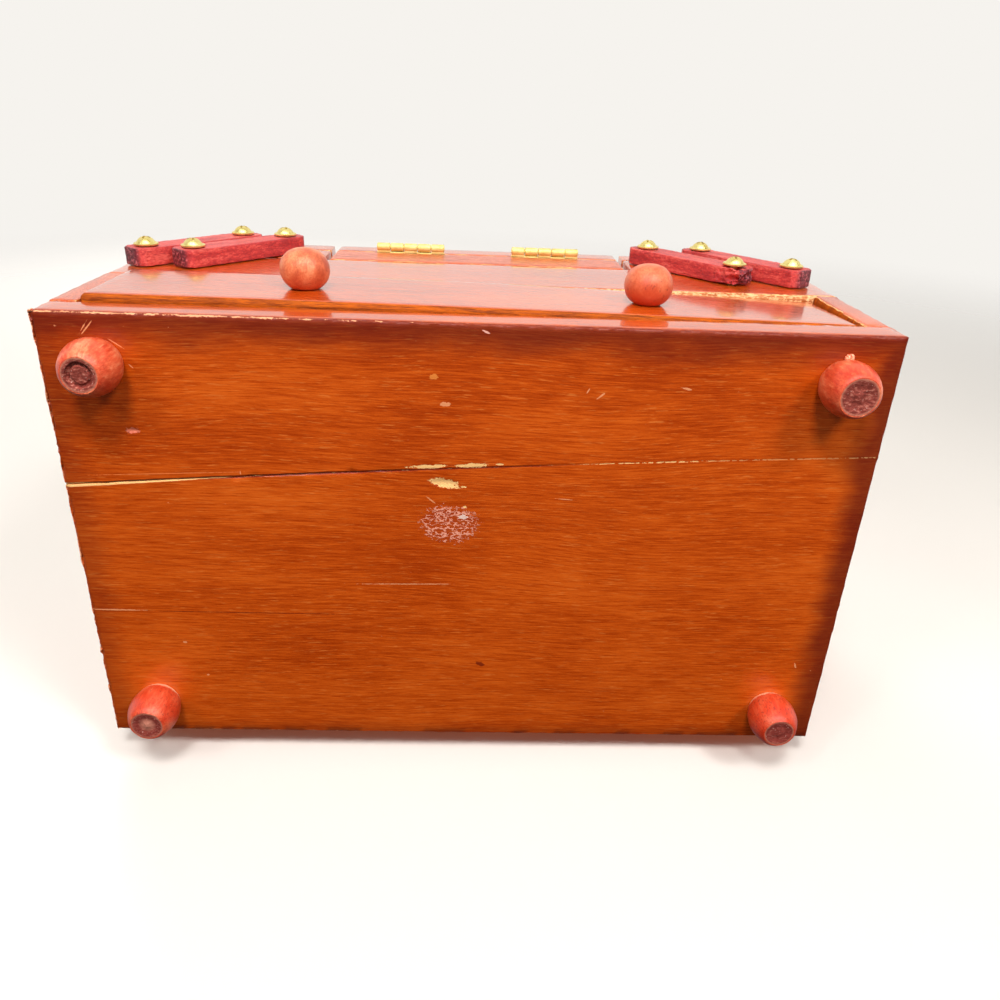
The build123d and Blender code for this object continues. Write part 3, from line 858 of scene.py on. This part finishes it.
plain_finish = Finish("plain wood")
plain_tones_and_glint = (paint(240, 210, 160), paint(224, 184, 128), paint(190, 142, 88), paint(248, 226, 184))
colour, fibres, _ = timber(plain_finish, *plain_tones_and_glint)
roughness = plain_finish.step(fibres, 0.3, 0.7, 0.55, 0.72)
plain_wood = plain_finish.lay_on(colour, roughness, fibres, 0.00015, 0.5)
plain_boards = {
    "drawer_left_side": "Y", "drawer_right_side": "Y", "drawer_back": "X", "drawer_floor": "X",
    "drawer_shelf": "X",
}
for plank, (name, along) in enumerate(plain_boards.items(), 33):
    piece = board(name)
    finish_board(piece, along, plank, 0.0003)
    fit(piece, "case" if name == "drawer_shelf" else "drawer", name, plain_wood)


# The two knobs, turned like flattened balls with a small flat against the drawer front, dyed and
# left dull. The brass screws that hold them are driven from inside the drawer.
knob_front_reach = 0.0080
knob_flat_distance = 0.0070
knob_fullness = 0.85
quarter_turn = math.pi / 2
dye = Finish("dyed knob", coat=0.35, coat_roughness=0.26)
grain = dye.grain()
grit = dye.noise(grain, (1.0, 1.4, 1.4), 5.0, 0.72)
blotches = dye.noise(grain, (0.1, 0.14, 0.14), 3.0)
tone = dye.add(dye.times(grit, 0.4), dye.times(blotches, 0.6))
colour = dye.ramp(
    dye.step(tone, 0.35, 0.65),
    (0.0, paint(180, 72, 38)), (0.5, paint(212, 108, 64)), (1.0, paint(228, 146, 98)),
)
# Painted shade: darker and redder towards the base against the drawer front, over a darker tone on the
# right knob
colour = dye.mix(dye.read("red_tone_and_shade"), colour, paint(194, 62, 26))
speck = dye.step(dye.noise(grain, (0.7, 0.7, 0.7), 3.0), 0.64, 0.7)
colour = dye.mix(speck, colour, paint(132, 44, 26), 0.55)
roughness = dye.step(grit, 0.3, 0.7, 0.4, 0.55)
knob_material = dye.lay_on(colour, roughness, grit, 0.00025, 0.5)

for plank, side in enumerate(("left", "right"), 41):
    low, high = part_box(side + "_knob")
    knob_radius = (high.x - low.x) / 2
    centre = Vector(((low.x + high.x) / 2, high.y - knob_flat_distance, (low.z + high.z) / 2))
    centre.y += drawer_face_shift(centre.x, centre.z)
    first = -math.asin(knob_flat_distance / knob_front_reach)
    profile = []
    for step in range(25):
        angle = first + (quarter_turn - 0.01 - first) * step / 24
        radius = knob_radius * math.cos(angle) ** knob_fullness
        profile.append((knob_front_reach * math.sin(angle), radius))
    ball = turn(side + "_knob_turning", profile)
    note_grain(ball, (2, 0, 1), plank)
    # Painted shade towards the base, where the knob meets the drawer front; the right knob is also darker
    # all over
    low_down = [min(1.0, max(0.0, (0.003 - vertex.co.z) / 0.008)) for vertex in ball.data.vertices]
    least, more = (0.0, 0.4) if side == "left" else (0.35, 0.65)
    note(ball, "red_tone_and_shade", [least + more * share for share in low_down])
    put(ball, at(centre, quarter_turn, "X"))
    roughen(ball, 0.005, 0.0004, level=0.9)
    smooth(ball, 50)
    fit(ball, "drawer", side + "_knob", knob_material)


def brass_metal(name, metallic, smoothest, dullest):
    """Brass, a little tarnished in clouds."""
    finish = Finish(name, metallic=metallic)
    tarnish = finish.noise(finish.seen((0, 0, 0)), (0.3, 0.3, 0.3), 5.0, 0.65)
    colour = finish.ramp(tarnish, (0.3, paint(226, 200, 112)), (0.7, paint(250, 236, 160)))
    roughness = finish.step(tarnish, 0.3, 0.7, smoothest, dullest)
    return finish.lay_on(colour, roughness, tarnish, 0.00003, 0.4)


brass = brass_metal("brass", 0.85, 0.26, 0.42)
dress(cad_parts["knob_screws"], brass)


# The two side trays: four walls and a thin floor each, in the same woods as the case. The hinge
# leaves are let into the top of each outer wall, and of the front board of the raised middle.
hinge_length = 0.0325
hinge_thickness = 0.0010
hinge_leaf_width = 0.0066
hinge_barrel_out = 0.0025
recess_gap = 0.00005
recess_spare = 0.00025


def hinge_places(name):
    """Where a lid's two hinges stand: a place and a turn for each, from the pins' own box."""
    low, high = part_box(name + "_hinge_pins")
    run = Vector((1, 0, 0)) if name == "middle" else Vector((0, 1, 0))
    angle = {"middle": 0.0, "left": -quarter_turn, "right": quarter_turn}[name]
    far = ((high - low).dot(run) - hinge_length) / 2
    return [at((low + high) / 2 + side * far * run, angle) for side in (-1, 1)]


def let_in(piece, name):
    """Cuts the recesses that a lid's two hinges lie in."""
    half = hinge_length / 2 + recess_gap
    depth = hinge_thickness + recess_spare
    reach = hinge_barrel_out + hinge_leaf_width
    for place in hinge_places(name):
        cut_away(piece, (-half, -0.001, -depth), (half, reach, depth), place)


riser = board("front_riser", 0.0003)
finish_board(riser, "X", 61, 0.0004, "middle")
fit(riser, "case", "front_riser", varnished("handled riser", 1.0, 0.6))

tray_boards = {"inner_wall": "Y", "outer_wall": "Y", "front_wall": "X", "back_wall": "X", "floor": "X"}
for side, first_plank in (("left", 51), ("right", 56)):
    for plank, (part, along) in enumerate(tray_boards.items(), first_plank):
        name = f"{side}_tray_{part}"
        piece = board(name)
        finish_board(piece, along, plank, 0.0004, side if part == "outer_wall" else None)
        if part == "floor":
            fit(piece, side + "_tray", name, plain_wood)
        else:
            varnish = front_varnish if part == "front_wall" else case_varnish
            fit(piece, side + "_tray", name, varnish)


# The three lids, thick boards with rounded upper edges and recesses for their hinges. They are
# planed and varnished like the fronts.
lid_round = 0.002
for plank, name in enumerate(("middle", "left", "right"), 71):
    body = "middle_lid" if name == "middle" else name + "_tray_lid"
    low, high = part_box(body)
    lid = block(body + "_wood", low, high)
    round_edges(lid, lid_round, 4, lambda edge: all(v.co.z > high.z - 0.0001 for v in edge.verts))
    round_edges(lid, 0.0003, 2)
    rule(lid, ruling)
    finish_board(lid, "X", plank, 0.0004, name)
    fit(lid, body, body, front_varnish)


# The eight arms, narrow bars of a coarse fibrous wood dyed cherry red, with clipped corners. Each
# turns on two screws. One has split at its lower end.
arm_pitch = 0.0495
arm_margin = 0.008
arm_width = 0.0136
arm_thickness = 0.0075
arm_clip = 0.003
arm_ruling = 0.0014
arm_length = arm_pitch + 2 * arm_margin
split_arm = "right_inner_front_arm"
split_length = 0.012


def middle_height(name):
    """How high the middle of a solid is."""
    low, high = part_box(name)
    return (low.z + high.z) / 2


case_pivot_z = middle_height("case_pivot_screws")
tray_pivot_z = middle_height("left_tray_screws")
arm_lean = math.asin((tray_pivot_z - case_pivot_z) / arm_pitch)
arm_run = math.cos(arm_lean) * arm_pitch

dye = Finish("dyed arm", coat=0.25, coat_roughness=0.35)
grain = dye.grain()
grit = dye.noise(grain, (0.5, 1.4, 1.4), 5.0, 0.75)
blotches = dye.noise(grain, (0.04, 0.2, 0.2), 3.0)
tone = dye.add(dye.times(grit, 0.6), dye.times(blotches, 0.4))
colour = dye.ramp(
    dye.step(tone, 0.36, 0.64),
    (0.0, paint(156, 24, 32)), (0.5, paint(202, 56, 54)), (1.0, paint(230, 106, 92)),
)
end = dye.step(dye.add(dye.read("end"), dye.times(grit, 0.1)), 1.0, 1.05)
speck = dye.step(dye.noise(grain, (1.0, 1.0, 1.0), 4.0, 0.7), 0.38, 0.66)
end_colour = dye.ramp(
    speck, (0.0, paint(74, 12, 24)), (0.6, paint(128, 30, 44)), (1.0, paint(206, 120, 124))
)
colour = dye.mix(end, colour, end_colour)
roughness = dye.step(grit, 0.3, 0.7, 0.4, 0.6)
arm_material = dye.lay_on(colour, roughness, dye.add(grit, speck), 0.0003, 0.6)

half_arm = Vector((arm_length / 2, arm_thickness / 2, arm_width / 2))
arm_names = [
    (side, f"{side}_{pair}_{end}_arm", f"{side}_{pair}_arms")
    for side in ("left", "right") for pair in ("outer", "inner") for end in ("front", "back")
]
for plank, (side, name, body) in enumerate(arm_names, 81):
    low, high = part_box(name)
    lean = arm_lean if side == "left" else math.pi - arm_lean
    bar = block(name + "_bar", -half_arm, half_arm)
    round_edges(bar, arm_clip, 1, runs_along(1, 0.001))
    round_edges(bar, ease, 2)
    rule(bar, arm_ruling)
    if name == split_arm:
        refine(bar, 2, lambda face: face.calc_center_median().x < split_length + 0.001 - half_arm.x)
    note_grain(bar, (0, 1, 2), plank)
    note(bar, "end", [abs(vertex.co.x) / (half_arm.x - 0.0002) for vertex in bar.data.vertices])
    split = []
    for vertex in bar.data.vertices:
        lower_end = max(0.0, 1 - (vertex.co.x + half_arm.x) / split_length)
        split.append(lower_end if vertex.co.z > 0 else 0.4 * lower_end)
    put(bar, at((low + high) / 2, -lean, "Y"))
    roughen(bar, 0.0014, 0.0004, level=0.9)
    if name == split_arm:
        roughen(bar, 0.0030, 0.0070, split, 0.8)
    smooth(bar, 40)
    fit(bar, body, name, arm_material)


# The sixteen pivot screws, brass-plated, with a domed and crossed head over a washer-shaped flange.
flange_radius = 0.005
flange_thickness = 0.0009
dome_radius = 0.0039
dome_height = 0.0026
shank_radius = 0.00175
shank_length = 0.0161
cross_width = 0.0009
cross_length = 0.0044
cross_depth = 0.0017
flange_gap = 0.0003

profile = [
    (-shank_length, shank_radius * 0.7), (-shank_length + 0.001, shank_radius), (0.0, shank_radius),
    (0.0, flange_radius - 0.0001), (0.0002, flange_radius), (flange_thickness - 0.0003, flange_radius),
    (flange_thickness, flange_radius - 0.0004), (flange_thickness, dome_radius),
]
ball_radius = (dome_radius**2 + dome_height**2) / (2 * dome_height)
full = math.asin(dome_radius / ball_radius)
for step in range(1, 9):
    angle = full * (1 - step / 8) + 0.02
    rise = ball_radius * (math.cos(angle) - math.cos(full))
    profile.append((flange_thickness + rise, ball_radius * math.sin(angle)))
screw = turn("screw", profile, 36)
top = flange_thickness + dome_height
for half_x_cut, half_y_cut in ((cross_length / 2, cross_width / 2), (cross_width / 2, cross_length / 2)):
    corner = (half_x_cut, half_y_cut, top + 0.001)
    cut_away(screw, (-half_x_cut, -half_y_cut, top - cross_depth), corner)
smooth(screw)


def copies(original, name, places):
    """One piece made of copies of an original, each with its own mesh, at each place."""
    made = []
    for place in places:
        active(original)
        bpy.ops.object.duplicate(linked=False)
        made.append(bpy.context.active_object)
        put(made[-1], place)
    return join(made, name)


def screw_places(side, end_share):
    """Where a side's screws stand, at the arms' lower ends for 1 and at their upper ends for -1,
    each with a turn of its own."""
    places = []
    outward = -1 if side == "left" else 1
    for facing, end in ((-1, "front"), (1, "back")):
        for pair in ("outer", "inner"):
            low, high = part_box(f"{side}_{pair}_{end}_arm")
            centre = (low + high) / 2
            x = centre.x + end_share * outward * arm_run / 2
            y = centre.y + facing * (arm_thickness / 2 + flange_gap)
            z = case_pivot_z if end_share > 0 else tray_pivot_z
            spin = Matrix.Rotation(31 * x + 57 * z, 4, "Z")
            places.append(at((x, y, z), -quarter_turn * facing, "X") @ spin)
    return places


groups = {
    "case_pivot_screws": ("case", screw_places("left", 1) + screw_places("right", 1)),
    "left_tray_screws": ("left_tray", screw_places("left", -1)),
    "right_tray_screws": ("right_tray", screw_places("right", -1)),
}
for name, (body, places) in groups.items():
    fit(copies(screw, name + "_brass", places), body, name, brass)
bpy.data.objects.remove(screw)


# The six butt hinges, pressed from thin brass, with five knuckles round a pin and two countersunk
# screws through each leaf. Two join each lid to the wood below, with the barrel standing outside.
knuckles = 5
knuckle_radius = 0.0019
pin_radius = 0.0010
knuckle_gap = 0.0004
leaf_screw_radius = 0.0017
leaf_screw_out = 0.0100
half_gap = 0.00025
dull_brass = brass_metal("dull brass", 0.55, 0.5, 0.65)


def hinge_leaf(upper):
    """A leaf with its own knuckles, its barrel along X through the origin, reaching back along Y."""
    side = 1 if upper else -1
    near, far = side * half_gap, side * (half_gap + hinge_thickness)
    leaf = block(
        "leaf", (-hinge_length / 2, hinge_barrel_out - 0.0004, min(near, far)),
        (hinge_length / 2, hinge_barrel_out + hinge_leaf_width, max(near, far)),
    )
    round_edges(leaf, 0.0002, 1)
    pieces = [leaf]
    pitch = hinge_length / knuckles
    for index in range(1 if upper else 0, knuckles, 2):
        x = -hinge_length / 2 + pitch * (index + 0.5)
        half = (pitch - knuckle_gap) / 2
        rounds = (
            (-half, pin_radius + 0.0001),
            (-half, knuckle_radius - 0.0002), (-half + 0.0002, knuckle_radius),
        )
        profile = [*rounds, *[(-z, radius) for z, radius in reversed(rounds)]]
        knuckle = turn("knuckle", profile, 32)
        put(knuckle, at((x, 0, 0), quarter_turn, "Y"))
        tongue = block(
            "tongue", (x - half, 0.0012, min(near, far)), (x + half, hinge_barrel_out, max(near, far))
        )
        pieces += [knuckle, tongue]
    for x in (-leaf_screw_out, leaf_screw_out):
        profile = [(-0.0006, 0.0008), (0.0, leaf_screw_radius), (0.00008, leaf_screw_radius - 0.0003)]
        head = turn("head", profile, 24)
        middle = hinge_barrel_out + hinge_leaf_width * 0.55
        put(head, at((x, middle, near), math.pi if upper else 0.0, "X"))
        pieces.append(head)
    return join(pieces, "leaf")


bodies = {
    "middle": ("case", "middle_lid"), "left": ("left_tray", "left_tray_lid"),
    "right": ("right_tray", "right_tray_lid"),
}
for upper, level in ((False, "lower"), (True, "upper")):
    leaf = hinge_leaf(upper)
    smooth(leaf, 30)
    for name, (below, above) in bodies.items():
        node_name = f"{name}_hinge_{level}_leaves"
        group = copies(leaf, node_name + "_brass", hinge_places(name))
        fit(group, above if upper else below, node_name, dull_brass)
    bpy.data.objects.remove(leaf)
for name in bodies:
    dress(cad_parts[name + "_hinge_pins"], dull_brass)


# The floor and the backdrop, pale and plain. Each shows only from the side that it faces.
paper = Finish("pale paper")
paper.shader.inputs["Base Color"].default_value = paint(232, 226, 218)
paper.shader.inputs["Roughness"].default_value = 0.9
faded = paper.step(paper.length(paper.node("TexCoord").outputs["Object"]), 0.35, 1.6)
hidden = paper.most(faded, paper.node("NewGeometry").outputs["Backfacing"])
clear = paper.node("BsdfTransparent").outputs[0]
mixed = paper.node("MixShader", {0: hidden, 1: paper.shader.outputs[0], 2: clear}).outputs[0]
paper.give(paper.tree.nodes["Material Output"].inputs["Surface"], mixed)


def backdrop(name, place, tilt):
    """A wide pale sheet that fades into the distance and is clear from behind."""
    flat = {"size": 8, "location": place, "rotation": (tilt, 0, 0)}
    sheet = new(name, bpy.ops.mesh.primitive_plane_add, **flat)
    sheet.visible_shadow = sheet.visible_diffuse = sheet.visible_glossy = False
    dress(sheet, paper.material)


backdrop("floor", (0, 0, 0), 0)
backdrop("table", (0, cad_high.y + 0.001, 0.08), quarter_turn)

# The room: white where it is seen, and darker below and behind where it lights or is mirrored
ambient = 0.3
mirrored_floor = 0.03
world = bpy.data.worlds.new("studio")
bpy.context.scene.world = world
world.use_nodes = True
room = Nodes(world.node_tree)
background = room.tree.nodes["Background"]
background.inputs["Color"].default_value = paint(246, 243, 238)
rays = room.node("LightPath").outputs
parts = room.node("SeparateXYZ", {0: room.node("TexCoord").outputs["Generated"]}).outputs
rise = {"Value": parts["Z"], 1: -0.3, 2: 0.2, 3: mirrored_floor, 4: 1.0}
back = {"Value": parts["Y"], 1: 0.1, 2: 0.55, 3: 1.0, 4: 0.2}
upward, backward = (room.node("MapRange", inputs).outputs[0] for inputs in (rise, back))
lighting = room.times(room.between(rays["Is Glossy Ray"], ambient, upward), backward)
room.give(background.inputs["Strength"], room.between(rays["Is Camera Ray"], lighting, 1.0))


def lamp(name, place, power, size, mirrored=False):
    """A soft square lamp that faces the middle of the box. It lights, or only its image shows."""
    made = new(name, bpy.ops.object.light_add, type="AREA", location=place)
    made.data.energy = power
    made.data.size = size
    made.visible_diffuse = not mirrored
    made.visible_glossy = mirrored
    aim = Vector((0, 0, 0.06)) - Vector(place)
    made.rotation_euler = aim.to_track_quat("-Z", "Y").to_euler()


front_lamps = {
    "right": ((0.5, -0.8, -0.5), 6.2), "middle": ((-0.05, -0.85, -0.48), 7.6),
    "left": ((-0.55, -0.7, -0.5), 2.4),
}
for name, (place, power) in front_lamps.items():
    lamp(name + " lamp", place, power, 0.22)
    lamp(name + " image", place, power, 0.7, mirrored=True)
lamp("lamp above", (-0.5, -0.6, 1.3), 13.0, 0.7)
lamp("lamp behind", (0.6, 1.0, 0.8), 11.0, 0.7)
